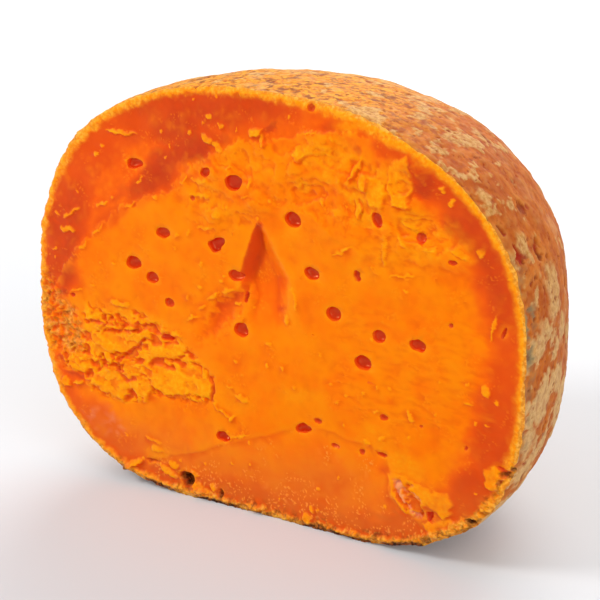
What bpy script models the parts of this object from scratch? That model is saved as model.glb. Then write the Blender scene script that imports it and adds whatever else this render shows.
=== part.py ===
"""Half of a hard orange ball cheese, cut upright and standing on its underside.

The cheese is one piece: a flattened ball that was pressed, salted and aged whole, then cut
a little in front of its axis. The cut face looks along -Y, +X runs across it to the right
and +Z is up. The origin is on the table, under the centre of the piece.
"""
import math

import bmesh
import bpy
from mathutils import Matrix, Vector, noise

MM = 0.001

# Driving dimensions.
GIRTH_RADIUS = 100.0 * MM  # the ball is a body of revolution, widest at this radius
CROWN = 78.0 * MM  # from the widest level up to the top
FOOT = 81.0 * MM  # from the widest level down to the foot of the uncut ball
CROWN_POWER = 2.3  # 2 is an ellipse, and more is squarer
FOOT_POWER = 3.15
REST_CUT = 1.4 * MM  # how much of the foot the resting flat takes off
CUT_OFFSET = 11.4 * MM  # the cut runs this far in front of the ball's axis

# Lumps of the rind: (wavelength, height) of each layer of noise.
LUMPS = ((46 * MM, 0.9 * MM), (17 * MM, 0.35 * MM))
LUMP_SEED = Vector((3.1, 7.4, 1.9))

# How finely the pieces are faceted.
BALL_SEGMENTS = 88
BALL_RINGS = 46
RELIEF_STEP = 4.6 * MM
EYE_DETAIL = 2

# Gas holes in the cut face: x, height above the foot, half width, half height, in mm.
EYES = (
    (-12.5, 126.5, 3.3, 2.9),
    (-56.0, 126.0, 3.1, 1.9),
    (-23.6, 128.2, 2.4, 2.0),
    (11.0, 116.6, 3.3, 2.8),
    (44.0, 122.2, 2.1, 2.7),
    (61.0, 118.2, 1.8, 1.9),
    (-43.0, 102.4, 3.0, 2.0),
    (-20.5, 101.6, 3.5, 2.9),
    (18.4, 98.4, 2.9, 2.3),
    (36.5, 100.8, 1.4, 2.0),
    (-12.6, 91.8, 2.9, 2.0),
    (-56.5, 89.0, 3.1, 2.6),
    (-48.5, 84.8, 2.6, 2.1),
    (-41.0, 76.3, 2.1, 1.8),
    (-10.4, 72.0, 2.9, 2.5),
    (27.3, 85.2, 2.8, 2.8),
    (45.2, 80.6, 2.5, 2.4),
    (60.2, 80.2, 2.9, 2.3),
    (39.0, 69.6, 3.2, 2.8),
    (-42.0, 62.8, 2.2, 1.3),
    (-18.3, 29.8, 3.1, 1.9),
    (15.0, 40.2, 3.2, 1.9),
)
EYE_SINK = 0.35  # an eye's centre lies this share of its size behind the face
EYE_ROUND = 1.15  # how much wider an eye is inside than at the face

# Chips broken out of the rim: x, height, half width, half height, depth, in mm.
RIM_CHIPS = (
    (-34.0, 7.6, 3.2, 3.4, 5.0),
    (95.5, 39.5, 5.0, 5.5, 6.5),
    (84.5, 21.0, 3.2, 1.8, 4.0),
    (-97.5, 69.0, 3.6, 6.0, 5.0),
)


def smooth(low, high, value):
    """0 at low, 1 at high and an S-curve between them. Low may be the larger."""
    t = min(1.0, max(0.0, (value - low) / (high - low)))
    return t * t * (3 - 2 * t)


def beyond(x, z, start, end):
    """Distance of (x, z) from the line through start and end, positive on its left."""
    along = Vector(end) - Vector(start)
    return (along.x * (z - start[1]) - along.y * (x - start[0])) / along.length


def upper_slab(x, z):
    """The upper left of the face broke away as a slab that slopes back to the rind."""
    return 3.6 * smooth(-1.0, 34.0, beyond(x, z, (-100, 88), (-10, 146)))


def lower_slab(x, z):
    """A clean cleavage plane along the bottom, which starts at a low step."""
    past = beyond(x, z, (24, 41), (-46, 13))
    return 0.5 * smooth(0.0, 1.0, past) + 1.6 * smooth(0.0, 40.0, past)


def wedge_hollow(x, z):
    """A shell-shaped hollow, steep on its left, where a wedge snapped out."""
    left = beyond(x, z, (-2.5, 113), (-9.5, 84))
    right = 15.0 - 0.2 * (113 - z)
    across = smooth(0.0, 1.6, left) * smooth(right, 2.0, left)
    return 3.4 * across * smooth(114, 103, z) * smooth(74, 84, z)


def crumbled_band(x, z):
    """A low strip where the knife tore crumbs out, left of centre."""
    across = smooth(35, 44, z) * smooth(69, 62, z)
    along = smooth(-15, -26, x) * smooth(-96, -88, x)
    lumps = noise.noise(Vector((x / 6.5, z / 4.5, 5.0)))
    return across * along * (1.5 + 1.5 * lumps)


def gouge(x, z):
    """A scooped chip low on the right."""
    reach = math.hypot((x - 58.5) / 9.5, (z - 22.5) / 5.6)
    return 4.2 * smooth(1.0, 0.35, reach)


def relief(x, z):
    """How far the cut face lies behind its plane at x and a height above the foot, in mm."""
    waves = 0.7 + 0.7 * noise.noise(Vector((x / 38, z / 30, 2.0)))
    forms = (upper_slab, lower_slab, wedge_hollow, crumbled_band, gouge)
    return max(0.0, waves + sum(form(x, z) for form in forms))


def ball_radius(direction):
    """Distance from the ball's centre to its rind, along a unit vector."""
    outward = math.hypot(direction.x, direction.y)
    power = CROWN_POWER if direction.z > 0 else FOOT_POWER
    height = CROWN if direction.z > 0 else FOOT
    law = (outward / GIRTH_RADIUS) ** power + (abs(direction.z) / height) ** power
    return law ** (-1 / power)


def lump(point):
    """How far the rind stands out at a point of the smooth ball."""
    return sum(
        height * noise.noise(point / length + LUMP_SEED) for length, height in LUMPS
    )


def collection(name):
    made = bpy.data.collections.new(name)
    bpy.context.scene.collection.children.link(made)
    return made


def object_from(name, bm, home):
    mesh = bpy.data.meshes.new(name)
    bmesh.ops.recalc_face_normals(bm, faces=bm.faces)
    bm.to_mesh(mesh)
    bm.free()
    made = bpy.data.objects.new(name, mesh)
    home.objects.link(made)
    return made


def as_cutter(cutter):
    cutter.hide_render = True
    cutter.display_type = "WIRE"
    return cutter


def whole_ball(home):
    """The uncut ball, with its centre at the origin."""
    bm = bmesh.new()
    bmesh.ops.create_uvsphere(
        bm, u_segments=BALL_SEGMENTS, v_segments=BALL_RINGS, radius=1
    )
    for vertex in bm.verts:
        direction = vertex.co.normalized()
        point = direction * ball_radius(direction)
        vertex.co = point + direction * lump(point)
    return object_from("cheese_half", bm, home)


def table_block(home):
    """What the resting flat is pressed against."""
    bm = bmesh.new()
    bmesh.ops.create_cube(bm, size=3 * GIRTH_RADIUS)
    top = REST_CUT - FOOT
    bmesh.ops.translate(bm, verts=bm.verts, vec=(0, 0, top - 1.5 * GIRTH_RADIUS))
    return as_cutter(object_from("table_block", bm, home))


def knife_block(home):
    """Everything in front of the cut face, with the face's relief on its back."""
    reach = 1.25 * GIRTH_RADIUS
    steps = round(2 * reach / RELIEF_STEP)
    bm = bmesh.new()
    bmesh.ops.create_grid(bm, x_segments=steps, y_segments=steps, size=reach)
    for vertex in bm.verts:
        x, z = vertex.co.x, vertex.co.y
        depth = relief(x / MM, (z + FOOT) / MM) * MM
        vertex.co = (x, depth - CUT_OFFSET, z)
    swept = bmesh.ops.extrude_face_region(bm, geom=bm.faces[:])
    front = [item for item in swept["geom"] if isinstance(item, bmesh.types.BMVert)]
    for vertex in front:
        vertex.co.y = -1.5 * GIRTH_RADIUS
    return as_cutter(object_from("knife_block", bm, home))


def pebble(name, x, height, depth, size, home):
    """An ellipsoid at (x, height) in mm, its centre that far behind the cut plane."""
    bm = bmesh.new()
    bmesh.ops.create_icosphere(bm, subdivisions=EYE_DETAIL, radius=MM)
    bmesh.ops.scale(bm, verts=bm.verts, vec=size)
    centre = (x * MM, depth * MM - CUT_OFFSET, height * MM - FOOT)
    bmesh.ops.translate(bm, verts=bm.verts, vec=centre)
    return as_cutter(object_from(name, bm, home))


def eye_cutters(home):
    for number, (x, height, wide, tall) in enumerate(EYES):
        size = Vector((wide, (wide + tall) / 2, tall)) * EYE_ROUND
        sunk = relief(x, height) + EYE_SINK * size.y
        pebble(f"eye_{number + 1:02d}", x, height, sunk, size, home)


def chip_cutters(home):
    for number, (x, height, wide, tall, deep) in enumerate(RIM_CHIPS):
        sunk = relief(x, height)
        pebble(f"chip_{number + 1}", x, height, sunk, (wide, deep, tall), home)


def cut(target, name, **operand):
    """Adds a Boolean that takes an object or a collection away from target."""
    boolean = target.modifiers.new(name, "BOOLEAN")
    boolean.operation = "DIFFERENCE"
    boolean.solver = "EXACT"
    for setting, value in operand.items():
        setattr(boolean, setting, value)


def settle(target):
    """Fixes the cuts in the mesh and puts the origin under the middle of the piece."""
    graph = bpy.context.evaluated_depsgraph_get()
    mesh = bpy.data.meshes.new_from_object(target.evaluated_get(graph))
    corners = [vertex.co for vertex in mesh.vertices]
    low = Vector(min(corner[axis] for corner in corners) for axis in range(3))
    high = Vector(max(corner[axis] for corner in corners) for axis in range(3))
    middle = (low + high) / 2
    mesh.transform(Matrix.Translation((-middle.x, -middle.y, -low.z)))
    target.modifiers.clear()
    target.data = mesh


def cheese_material():
    made = bpy.data.materials.new("aged_orange_cheese")
    made.use_nodes = True
    shader = made.node_tree.nodes["Principled BSDF"]
    shader.inputs["Base Color"].default_value = (0.95, 0.22, 0.012, 1)
    shader.inputs["Roughness"].default_value = 0.5
    shader.inputs["Metallic"].default_value = 0.0
    return made


def shade(mesh):
    """Smooth over the round rind, sharp at the cut's edge and in the holes."""
    mesh.shade_smooth()
    mesh.set_sharp_from_angle(angle=math.radians(35))


def build():
    for leftover in list(bpy.data.objects):
        bpy.data.objects.remove(leftover)
    parts = collection("half_ball_cheese")
    cutters = collection("cutters")
    holes = collection("holes")
    cheese = whole_ball(parts)
    cut(cheese, "resting_flat", object=table_block(cutters))
    cut(cheese, "cut_face", object=knife_block(cutters))
    eye_cutters(holes)
    chip_cutters(holes)
    cut(cheese, "holes", operand_type="COLLECTION", collection=holes)
    bpy.context.view_layer.update()
    settle(cheese)
    cheese.data.materials.clear()
    cheese.data.materials.append(cheese_material())
    shade(cheese.data)


build()
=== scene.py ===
"""Half of a hard orange ball cheese, standing on its underside.

The CAD model gives the frame: where the piece stands, its girth, its height and the plane of
the cut. This script builds the surface that is seen: a cut face torn by the knife, with gas
holes, crumbs and chips, and a dry rind full of pits. Both are sheets of one closed mesh that
meet at the rim.

The shape is worked out in millimetres. On the face, x runs to the right and z is the height
above the foot of the uncut ball, which is REST_CUT below the table.
"""
import functools
import itertools
import math

import bpy
import numpy as np
from mathutils import Matrix, Vector


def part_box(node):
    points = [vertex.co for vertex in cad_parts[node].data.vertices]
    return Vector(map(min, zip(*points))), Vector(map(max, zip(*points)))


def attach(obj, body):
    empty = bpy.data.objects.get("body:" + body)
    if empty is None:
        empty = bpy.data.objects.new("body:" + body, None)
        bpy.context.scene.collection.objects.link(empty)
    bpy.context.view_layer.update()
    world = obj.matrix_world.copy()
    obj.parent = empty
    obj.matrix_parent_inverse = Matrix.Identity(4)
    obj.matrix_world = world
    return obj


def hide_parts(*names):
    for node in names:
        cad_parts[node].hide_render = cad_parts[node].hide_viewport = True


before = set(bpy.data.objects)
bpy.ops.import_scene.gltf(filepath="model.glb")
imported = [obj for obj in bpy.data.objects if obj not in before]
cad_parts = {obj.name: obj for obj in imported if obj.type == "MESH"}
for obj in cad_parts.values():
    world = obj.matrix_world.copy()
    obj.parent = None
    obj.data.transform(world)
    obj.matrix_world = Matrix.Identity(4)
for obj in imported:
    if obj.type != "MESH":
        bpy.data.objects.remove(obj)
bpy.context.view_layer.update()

NODE = "cheese_half"
low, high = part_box(NODE)

# ---------------------------------------------------------------- driving dimensions, in mm
GIRTH = (high[0] - low[0]) * 500  # radius of the ball at its widest level
HEIGHT = (high[2] - low[2]) * 1000
REST_CUT = 1.4  # how much the resting flat takes off the ball's round foot
FOOT = 0.5107 * (HEIGHT + REST_CUT)  # from the widest level down to the round foot
CROWN = HEIGHT + REST_CUT - FOOT
CROWN_POWER = 2.3  # 2 is an ellipse, and more is squarer
FOOT_POWER = 3.15
CUT_OFFSET = 11.4  # the cut runs this far in front of the ball's axis
CENTRE = np.array([(low[0] + high[0]) * 500, low[1] * 1000 + CUT_OFFSET, FOOT - REST_CUT])

GRID = 400  # cells along each side of each sheet's grid
MOST_TRIANGLES = 198_000
RIM_SEARCH = (10.0, 140.0)  # the rim lies between these distances from the cut's middle
RIM_HALVINGS = 40  # how often that range is halved
RIM_STEPS = 4096  # angles at which the rim is found


# ---------------------------------------------------------------- noise
class Noise:
    """Smooth and cellular noise over arrays of points, the same in every run."""

    def __init__(self, seed):
        draw = np.random.default_rng(seed)
        self.order = draw.permutation(256)
        slopes = draw.normal(size=(256, 3))
        self.slopes = slopes / np.linalg.norm(slopes, axis=1)[:, None]
        self.spots = draw.random((256, 3))

    def pick(self, cell):
        picked = 0
        for axis in range(cell.shape[1]):
            picked = self.order[(picked + cell[:, axis]) & 255]
        return picked

    def smooth(self, points):
        """Gradient noise, about -1 to 1."""
        base = np.floor(points).astype(int)
        inside = points - base
        fade = inside**3 * (inside * (inside * 6 - 15) + 10)
        total = np.zeros(len(points))
        for corner in itertools.product((0, 1), repeat=3):
            corner = np.array(corner)
            slope = self.slopes[self.pick(base + corner)]
            weight = np.where(corner == 1, fade, 1 - fade).prod(axis=1)
            total += weight * ((inside - corner) * slope).sum(axis=1)
        return total * 1.6

    def layered(self, points, layers=3, gain=0.5):
        total = np.zeros(len(points))
        for layer in range(layers):
            total += gain**layer * self.smooth(points * 2.03**layer + 17.3 * layer)
        return total

    def cells(self, points):
        """Distance to the nearest cell centre, and a number per cell."""
        base = np.floor(points).astype(int)
        nearest = np.full(len(points), 9.0)
        name = np.zeros(len(points), int)
        for step in itertools.product((-1, 0, 1), repeat=points.shape[1]):
            cell = base + np.array(step)
            picked = self.pick(cell)
            centre = cell + self.spots[picked][:, : points.shape[1]]
            far = np.linalg.norm(points - centre, axis=1)
            name = np.where(far < nearest, picked, name)
            nearest = np.minimum(nearest, far)
        return nearest, self.spots[name][:, 2]


NOISE = Noise(11)


def flat_noise(x, z, size, seed, layers=1, gain=0.5):
    """Noise over the cut face. size is its grain in mm, one number or (across, up)."""
    across, up = size if isinstance(size, tuple) else (size, size)
    points = np.column_stack((x / across, z / up, np.full(len(x), seed * 7.7)))
    return NOISE.layered(points, layers, gain)


def flat_cells(x, z, size, seed):
    across, up = size if isinstance(size, tuple) else (size, size)
    return NOISE.cells(np.column_stack((x / across + seed * 31.7, z / up + seed * 11.3)))


def solid_noise(points, size, seed, layers=1, gain=0.5):
    return NOISE.layered(points / size + seed * 9.1, layers, gain)


def smooth(start, end, value):
    """0 at start, 1 at end and an S-curve between them. start may be the larger."""
    t = np.clip((value - start) / (end - start), 0, 1)
    return t * t * (3 - 2 * t)


def highest(*shares):
    """The largest of several shares at each point."""
    return functools.reduce(np.maximum, shares)


# ---------------------------------------------------------------- plane geometry
def off_path(x, z, path):
    """Distance from a path, with + on its left and - on its right."""
    nearest = np.full(len(x), 1e9)
    signed = np.full(len(x), 1e9)
    for (ax, az), (bx, bz) in zip(path, path[1:]):
        dx, dz = bx - ax, bz - az
        along = ((x - ax) * dx + (z - az) * dz) / (dx * dx + dz * dz)
        along = np.clip(along, 0, 1)
        gap_x, gap_z = x - ax - along * dx, z - az - along * dz
        gap = np.hypot(gap_x, gap_z)
        left = np.where(dx * gap_z - dz * gap_x >= 0, 1.0, -1.0)
        signed = np.where(gap < nearest, gap * left, signed)
        nearest = np.minimum(nearest, gap)
    return signed


def within(x, z, outline, blur):
    """1 inside an outline and 0 outside it, with a soft edge."""
    closed = list(outline) + [outline[0]]
    crossings = np.zeros(len(x), int)
    for (ax, az), (bx, bz) in zip(closed, closed[1:]):
        spans = (az > z) != (bz > z)
        if bz != az:
            crossings += spans & (x < (bx - ax) * (z - az) / (bz - az) + ax)
    sign = np.where(crossings % 2 == 1, 1, -1)
    return smooth(-blur, blur, sign * np.abs(off_path(x, z, closed)))


def oval_frame(x, z, oval):
    """Place along and across an oval, each 1 at its edge. oval: x, z, half sizes, tilt."""
    centre_x, centre_z, wide, tall, tilt = oval
    turn = math.radians(tilt)
    dx, dz = x - centre_x, z - centre_z
    along = dx * math.cos(turn) + dz * math.sin(turn)
    across = dz * math.cos(turn) - dx * math.sin(turn)
    return along / wide, across / tall


def in_oval(x, z, oval):
    """Distance from an oval's centre, 1 on its edge."""
    return np.hypot(*oval_frame(x, z, oval))


def strongest(x, z, patches, start, end, ragged=0.0):
    """The most that any soft patch gives each point. A patch is an oval and its strength."""
    most = np.zeros(len(x))
    for *oval, strength in patches:
        share = smooth(start, end, in_oval(x, z, oval) + ragged)
        most = np.maximum(most, strength * share)
    return most


# ---------------------------------------------------------------- the marks of the cut face
# Gas holes: x, z, half width, half height, tilt in degrees, how irregular, and how much shade is painted
# into them, which also deepens them.
EYES = (
    (-12.6, 125.9, 3.3, 2.8, 10, 0.3, 1), (-56, 125.6, 3.3, 1.9, 8, 1, 0.7),
    (-24.2, 127.9, 2.6, 1.6, 32, 0.8, 0.5), (11, 116.3, 3.3, 2.8, 0, 0.2, 0.75),
    (44.2, 122, 2, 2.7, 20, 0.6, 0.8), (60.6, 118.2, 1.8, 1.9, 0, 0.6, 0.55),
    (-43, 102.4, 3, 2, 12, 0.5, 0.7), (-20.5, 101.8, 3.4, 2.4, 30, 1.6, 1),
    (18.6, 98.3, 3, 2.2, -6, 0.4, 0.7), (36.5, 100.8, 1.2, 2, 25, 1.6, 1),
    (-12.6, 91.8, 3, 2, 0, 0.6, 0.6), (-56.4, 88.7, 3.2, 2.5, 8, 0.5, 0.8),
    (-48.3, 84.5, 2.7, 2.1, 6, 0.4, 0.7), (-41, 76.3, 2, 1.7, 0, 0.3, 0.55),
    (-10.4, 71.9, 3, 2.5, -15, 0.5, 0.7), (27.3, 85.2, 2.9, 2.6, 0, 0.2, 0.65),
    (45.2, 80.5, 2.5, 2.3, 0, 0.3, 0.7), (60.2, 80.2, 3, 2.2, 0, 0.9, 0.8),
    (39, 69.6, 3.2, 2.7, 0, 0.4, 0.8), (-42.2, 62.6, 2.4, 1.2, 0, 0.8, 0.9),
    (-18.3, 29.4, 3.2, 1.8, -6, 1.2, 0.9), (15, 39.8, 3.4, 1.8, 12, 1.2, 0.7),
    (73, 112.2, 1.7, 0.9, 8, 1, 0.6), (21.2, 44, 1.6, 1, 0, 0.8, 0.5),
    (28, 36, 1.8, 0.8, -6, 0.8, 0.5), (39, 36.3, 1.1, 1.1, 0, 1, 0.5),
    (47, 37.1, 2, 0.9, 0, 1, 0.6), (47.4, 51.2, 1.7, 1.1, 0, 0.8, 0.5),
    (72.5, 89.8, 0.9, 0.8, 0, 0.8, 0.8), (92, 91, 0.6, 2.3, -18, 1, 0.6),
    (79.3, 47, 0.7, 0.9, 0, 0.8, 0.5), (62, 51, 0.7, 0.6, 0, 0.8, 0.5),
    (-8.6, 84.2, 0.9, 2, -16, 1.2, 0.6), (66.2, 18.6, 1.2, 2, -20, 2, 1),
    (17.5, 156.4, 1.5, 1.3, 0, 0.8, 0.4), (-84.2, 71.2, 1.1, 0.8, 0, 0.8, 0.8),
    (-30, 117.4, 1, 0.9, 0, 0.8, 0.3),
)
EYE_NEAR = 8  # more than any gas hole reaches
# Gaps in the rim and the rind, with painted shade that darkens them as they deepen: x, z, half width, half
# height, depth.
RIM_PITS = (
    (-35, 8.4, 3, 2.8, 6), (82, 20.4, 1.5, 1.3, 3), (94.6, 40.8, 2.8, 1.3, 1.5),
    (97.6, 43.4, 1.4, 1, 1.6), (92.4, 37, 0.9, 2, 0.9), (87.2, 24.4, 1.6, 0.9, 0.7),
    (-20.5, 5, 1.2, 2.2, 1.5), (-49, 12.4, 2.6, 0.5, 1),
)
# Shavings that stand up: x, z, half length, half width, tilt, height.
CHIPS = (
    (-24, 147.4, 1.5, 0.8, 0, 0.5), (-18.2, 144.8, 1.8, 1, -8, 0.6),
    (-23.6, 139.8, 2.6, 1.1, -16, 0.7), (-19.6, 137.4, 2.4, 0.9, -38, 0.7),
    (-4.5, 145, 3, 1.2, 18, 1.2), (-1.6, 142.6, 1.2, 2.6, 24, 1.2), (18, 148, 3, 0.5, 14, 0.4),
    (35.6, 138.5, 1, 5, -28, 1.2), (38.4, 134, 1.6, 3, 8, 1.1), (36.6, 124.8, 1, 3.6, 8, 1),
    (46.8, 112, 0.9, 5.4, 4, 0.5), (57, 121.8, 3.4, 0.9, -22, 0.5), (64, 115, 2.6, 1, 4, 0.4),
    (53.5, 116.5, 1, 3, 30, 0.4), (75, 116, 3.6, 1.4, -24, 0.5), (83, 117, 1, 1.8, -30, 0.4),
    (68.4, 136, 1.6, 0.9, -40, 0.5), (71.6, 132.6, 1.1, 1.6, -30, 0.4),
    (-79, 91.5, 2.6, 0.6, 44, 0.4), (-72, 99, 3.2, 0.5, 40, 0.4), (-57, 110.6, 2.8, 0.6, 32, 0.4),
    (-46.5, 115.2, 1.2, 0.6, 20, 0.4), (-34, 123.6, 2.2, 0.5, 50, 0.4),
    (-52.8, 120.4, 2.4, 0.4, 50, 0.3), (-84.5, 102.8, 4.8, 0.7, 30, 0.6),
    (-86, 96.2, 3.3, 1, 6, 0.7), (-70, 108.8, 3, 0.6, 24, 0.5), (-62, 136, 7, 0.7, 3, 0.7),
    (-73.5, 126, 1.1, 0.8, 0, 0.5), (-63, 71.8, 4.2, 1.1, 6, 0.7), (-82, 73.6, 2.6, 0.5, 16, 0.4),
    (-92, 88, 1.2, 0.5, 30, 0.4), (-88.5, 36, 2.2, 1.6, 0, 1.3), (-83, 37, 2.4, 0.9, 20, 0.8),
    (-59.5, 8.8, 6, 1.1, 34, 1.3), (-49.5, 21, 3.6, 0.6, -8, 0.5), (-48, 17.8, 3, 1.2, 10, 0.5),
    (-19, 39.6, 4.6, 0.6, -30, 0.6), (-14.4, 37.4, 0.8, 2, -34, 0.6), (-10, 46, 3, 1.2, -10, 0.5),
    (-43, 9.8, 4.4, 1.2, -22, 0.9), (-40.6, 13, 1.8, 1.2, 0, 0.8), (-31, 11.6, 1.6, 1, -30, 0.8),
    (-29, 5.8, 4.4, 1.5, -12, 1.1), (-23.5, 8, 1.4, 2, 20, 0.8), (-5, 3.4, 5, 0.9, -4, 0.9),
    (16.4, 4.6, 2, 2.6, 0, 1.2), (18.2, 9, 0.9, 1.4, 10, 0.7), (33, 3.6, 6, 0.9, 2, 0.8),
    (8.2, 79.2, 1.1, 1.9, 16, 0.6), (-22.5, 82.4, 3.2, 0.8, 36, 0.6),
    (-16.5, 85.6, 2.6, 0.9, 24, 0.6), (-27.5, 77.4, 2.2, 0.6, 30, 0.5),
    (-18.6, 88.6, 1.2, 0.7, 0, 0.4), (-31, 72.6, 2.4, 0.5, 26, 0.4),
    (-12.4, 81, 1.6, 0.6, 10, 0.4), (58, 54, 0.7, 2.4, 40, 0.6), (40.5, 40.5, 1.2, 1, 0, 0.4),
    (46.6, 43, 1.8, 0.8, 24, 0.4), (88.3, 92, 0.7, 4.6, -14, 0.5), (86, 69.6, 1.6, 2.2, 30, 0.6),
    (90, 66, 0.7, 1.6, 10, 0.5), (79.5, 63.5, 2.2, 0.4, -14, 0.4), (54, 104, 5, 0.5, 12, 0.3),
    (31, 109, 4, 0.7, 30, 0.4), (11.4, 88, 0.6, 5, 8, 0.3), (-27, 124.2, 3.6, 0.8, -4, 0.4),
    (-27, 119.2, 4, 1, 6, 0.5), (-20, 113, 1.6, 1.3, 0, 0.4), (-25, 107.4, 3, 0.8, 6, 0.3),
    (-32.6, 104.6, 0.7, 1.2, 0, 0.3), (-8, 121.6, 1.8, 0.6, 30, 0.4),
    (-15, 130.8, 1.6, 0.5, 20, 0.4), (-6.2, 126.8, 0.7, 2.2, 0, 0.4),
    (22.8, 124.6, 0.8, 2, 10, 0.4), (-38, 64.6, 2.6, 0.8, 0, 0.4), (-12, 30.4, 6, 0.4, 22, 0.3),
)
# Thin plates of paste, lifted along their lower edge: height, outline.
PLATES = (
    (0.7, ((-77, 58), (-66, 60), (-54, 60), (-55, 56.5), (-60, 53), (-69, 52.5), (-76, 55))),
    (0.6, ((-50, 58), (-40, 60.5), (-36, 57), (-41, 55), (-50, 53.5))),
    (0.9, ((-49, 50.5), (-40, 50.5), (-32, 53.5), (-25, 52), (-22.8, 48.5), (-24, 44),
           (-34, 42.5), (-44, 41), (-50, 42.5))),
    (0.9, ((-76, 43.5), (-66, 44.5), (-60, 41), (-60, 37), (-63, 34.5), (-72, 35.5), (-76, 38.5))),
    (0.9, ((-62, 47), (-55, 50), (-50, 49), (-50, 41), (-52, 36), (-56, 38), (-59, 41))),
    (0.8, ((-88, 47), (-84, 49), (-78, 48.5), (-76, 44), (-80, 41), (-87, 42.5))),
    (0.5, ((-79, 67), (-73, 68), (-71, 64), (-78, 62.5))),
    (0.5, ((-60, 66.5), (-50, 68.5), (-47, 66.5), (-56, 65))),
    (1.3, ((11, 139.5), (13, 142), (16, 144), (22, 145.5), (26, 144), (25, 141.5), (18, 141),
           (15, 138.5), (12, 137.5))),
    (1.4, ((48, 141), (51, 144), (55, 146), (56, 141), (57, 134), (56, 128), (50, 128), (48, 134))),
    (0.9, ((38, 137), (42, 137), (48, 133), (46, 126), (41, 126), (39, 131))),
    (1.2, ((49, 30.5), (53, 31), (60, 29.5), (66, 28), (72.5, 28.5), (74.5, 25), (73.5, 20),
           (71, 18), (69, 21), (64, 22.5), (60, 17), (55, 18.5), (51.5, 22.5))),
    (0.9, ((64, 15), (68, 17), (76, 19.5), (86, 24), (90, 24), (84, 17), (76, 12), (66, 11))),
    (1.6, ((86.5, 40), (90, 43), (94, 41), (93, 36), (89, 33.5), (87, 35))),
)
# Patches of redder paste: x, z, half length, half width, tilt, strength.
RED_PATCHES = (
    (45.5, 147, 6, 3.4, 4, 0.5), (27, 151, 7, 3.4, 8, 0.75), (62, 136, 7, 5.2, -52, 0.95),
    (74, 124, 9, 5, -42, 0.9), (88, 107, 11, 4.6, -70, 0.85), (56.5, 141.5, 2, 1.6, 0, 0.9),
    (-17.5, 140.6, 4.4, 2.4, -6, 0.7), (2, 148, 3.6, 1.4, 40, 0.9), (35, 144.6, 2.2, 2.2, 0, 0.7),
    (-50, 118.5, 11, 5, 40, 0.9), (-43, 127, 14, 7.5, 48, 1), (-31, 136, 16, 7, 20, 1),
    (-88, 86, 15, 7.5, 90, 0.95), (-89, 71.5, 3.4, 2.8, 0, 0.95), (-67, 104, 12, 3.6, 36, 0.5),
    (-90, 44.5, 3, 1.5, 0, 0.8), (-84, 39, 7, 1.3, 0, 0.9), (-70, 24, 12, 6, -34, 0.5),
    (82, 34, 16, 6.5, 62, 0.75), (88, 58, 14, 4.4, 86, 0.5), (52, 14, 12, 2.6, 6, 0.9),
    (63, 16.6, 5, 1.6, 20, 0.9), (47, 31.4, 2.2, 1.8, 0, 0.5), (-5, 149, 16, 4, 6, 0.6),
    (72, 14.6, 4, 0.7, 20, 0.9), (-38, 142, 15, 8, 14, 0.9), (-92, 100, 10, 4, 80, 0.65),
    (-62, 113, 7, 3, 40, 0.6), (-27, 128, 10, 4, 24, 0.4), (-10, 124, 8, 7, 0, 0.2),
    (5.8, 83.4, 4, 0.9, 4, 0.65), (55, 16.6, 6, 1.2, -16, 0.8), (49.6, 21, 1.6, 4, 24, 0.35),
    (-60, 38.5, 3, 2, 0, 0.5), (3, 134, 3, 2, 0, 0.3), (-84, 100, 6, 3, 40, 0.4),
)
# Soft patches of yellower paste: x, z, half length, half width, tilt, strength.
YELLOW_PATCHES = (
    (-15, 136, 6, 4, 30, 0.35), (26, 140, 7, 4, 0, 0.6), (20, 142, 7, 3, 6, 0.5),
    (42, 131, 8, 6, 20, 0.8), (50, 136, 5, 8, 0, 0.6), (58, 124, 8, 5, 0, 0.4),
    (37, 126, 2, 7, 4, 0.7), (46.5, 110, 2, 6, 4, 0.5), (62, 114, 6, 3, 0, 0.5),
    (75, 116, 6, 3, -20, 0.5), (32, 152, 5, 3, 10, 0.6), (42, 106, 10, 6, 30, 0.3),
    (44, 42, 8, 5, 10, 0.4), (55, 35, 8, 5, -20, 0.5), (-25, 118, 9, 5, 10, 0.15),
    (12, 108, 6, 8, 0, 0.25), (-50, 66, 12, 3, 4, 0.6), (15, 52, 10, 3, 10, 0.3),
    (10, 88, 3, 10, 0, 0.3), (-15, 44, 9, 5, 0, 0.3), (-38, 62, 6, 4, 0, 0.4),
    (-47, 16, 5, 3, 20, 0.5), (-63, 72, 5, 1.6, 6, 0.5),
)
# What the rind side of the face looks like all round: angle in degrees from +x, width and
# strength of the redder band, width of the pale rim line, and how crumbly that line is.
AROUND = (
    (-180, 17, 0.85, 2.8, 0.5), (-172, 13, 0.35, 3.6, 1), (-160, 11, 0.35, 4, 0.6),
    (-150, 11, 0.5, 2.8, 0.4), (-135, 15, 0.55, 2.6, 0.4), (-122, 11, 0.7, 3, 0.5),
    (-112, 11, 0.8, 3.6, 0.9), (-100, 12, 0.75, 2.2, 0.8), (-80, 12, 0.7, 1.8, 0.8),
    (-60, 12, 0.7, 2.4, 0.8), (-44, 15, 0.75, 3.2, 0.9), (-28, 17, 0.75, 3.2, 0.8),
    (-14, 17, 0.65, 2, 0.3), (0, 13, 0.55, 1.7, 0.2), (14, 14, 0.8, 2.1, 0.2),
    (30, 15, 0.8, 2.4, 0.2), (46, 14, 0.7, 3.2, 0.2), (60, 8, 0.45, 3.8, 0.2),
    (75, 9, 0.5, 2.8, 0.4), (90, 12, 0.8, 2.4, 0.4), (108, 16, 0.85, 2.2, 0.4),
    (125, 17, 0.8, 2.6, 0.5), (140, 20, 0.55, 3, 0.6), (155, 20, 0.6, 2.8, 0.6),
    (168, 20, 0.9, 2.6, 0.5), (180, 17, 0.85, 2.8, 0.5),
)
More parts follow.
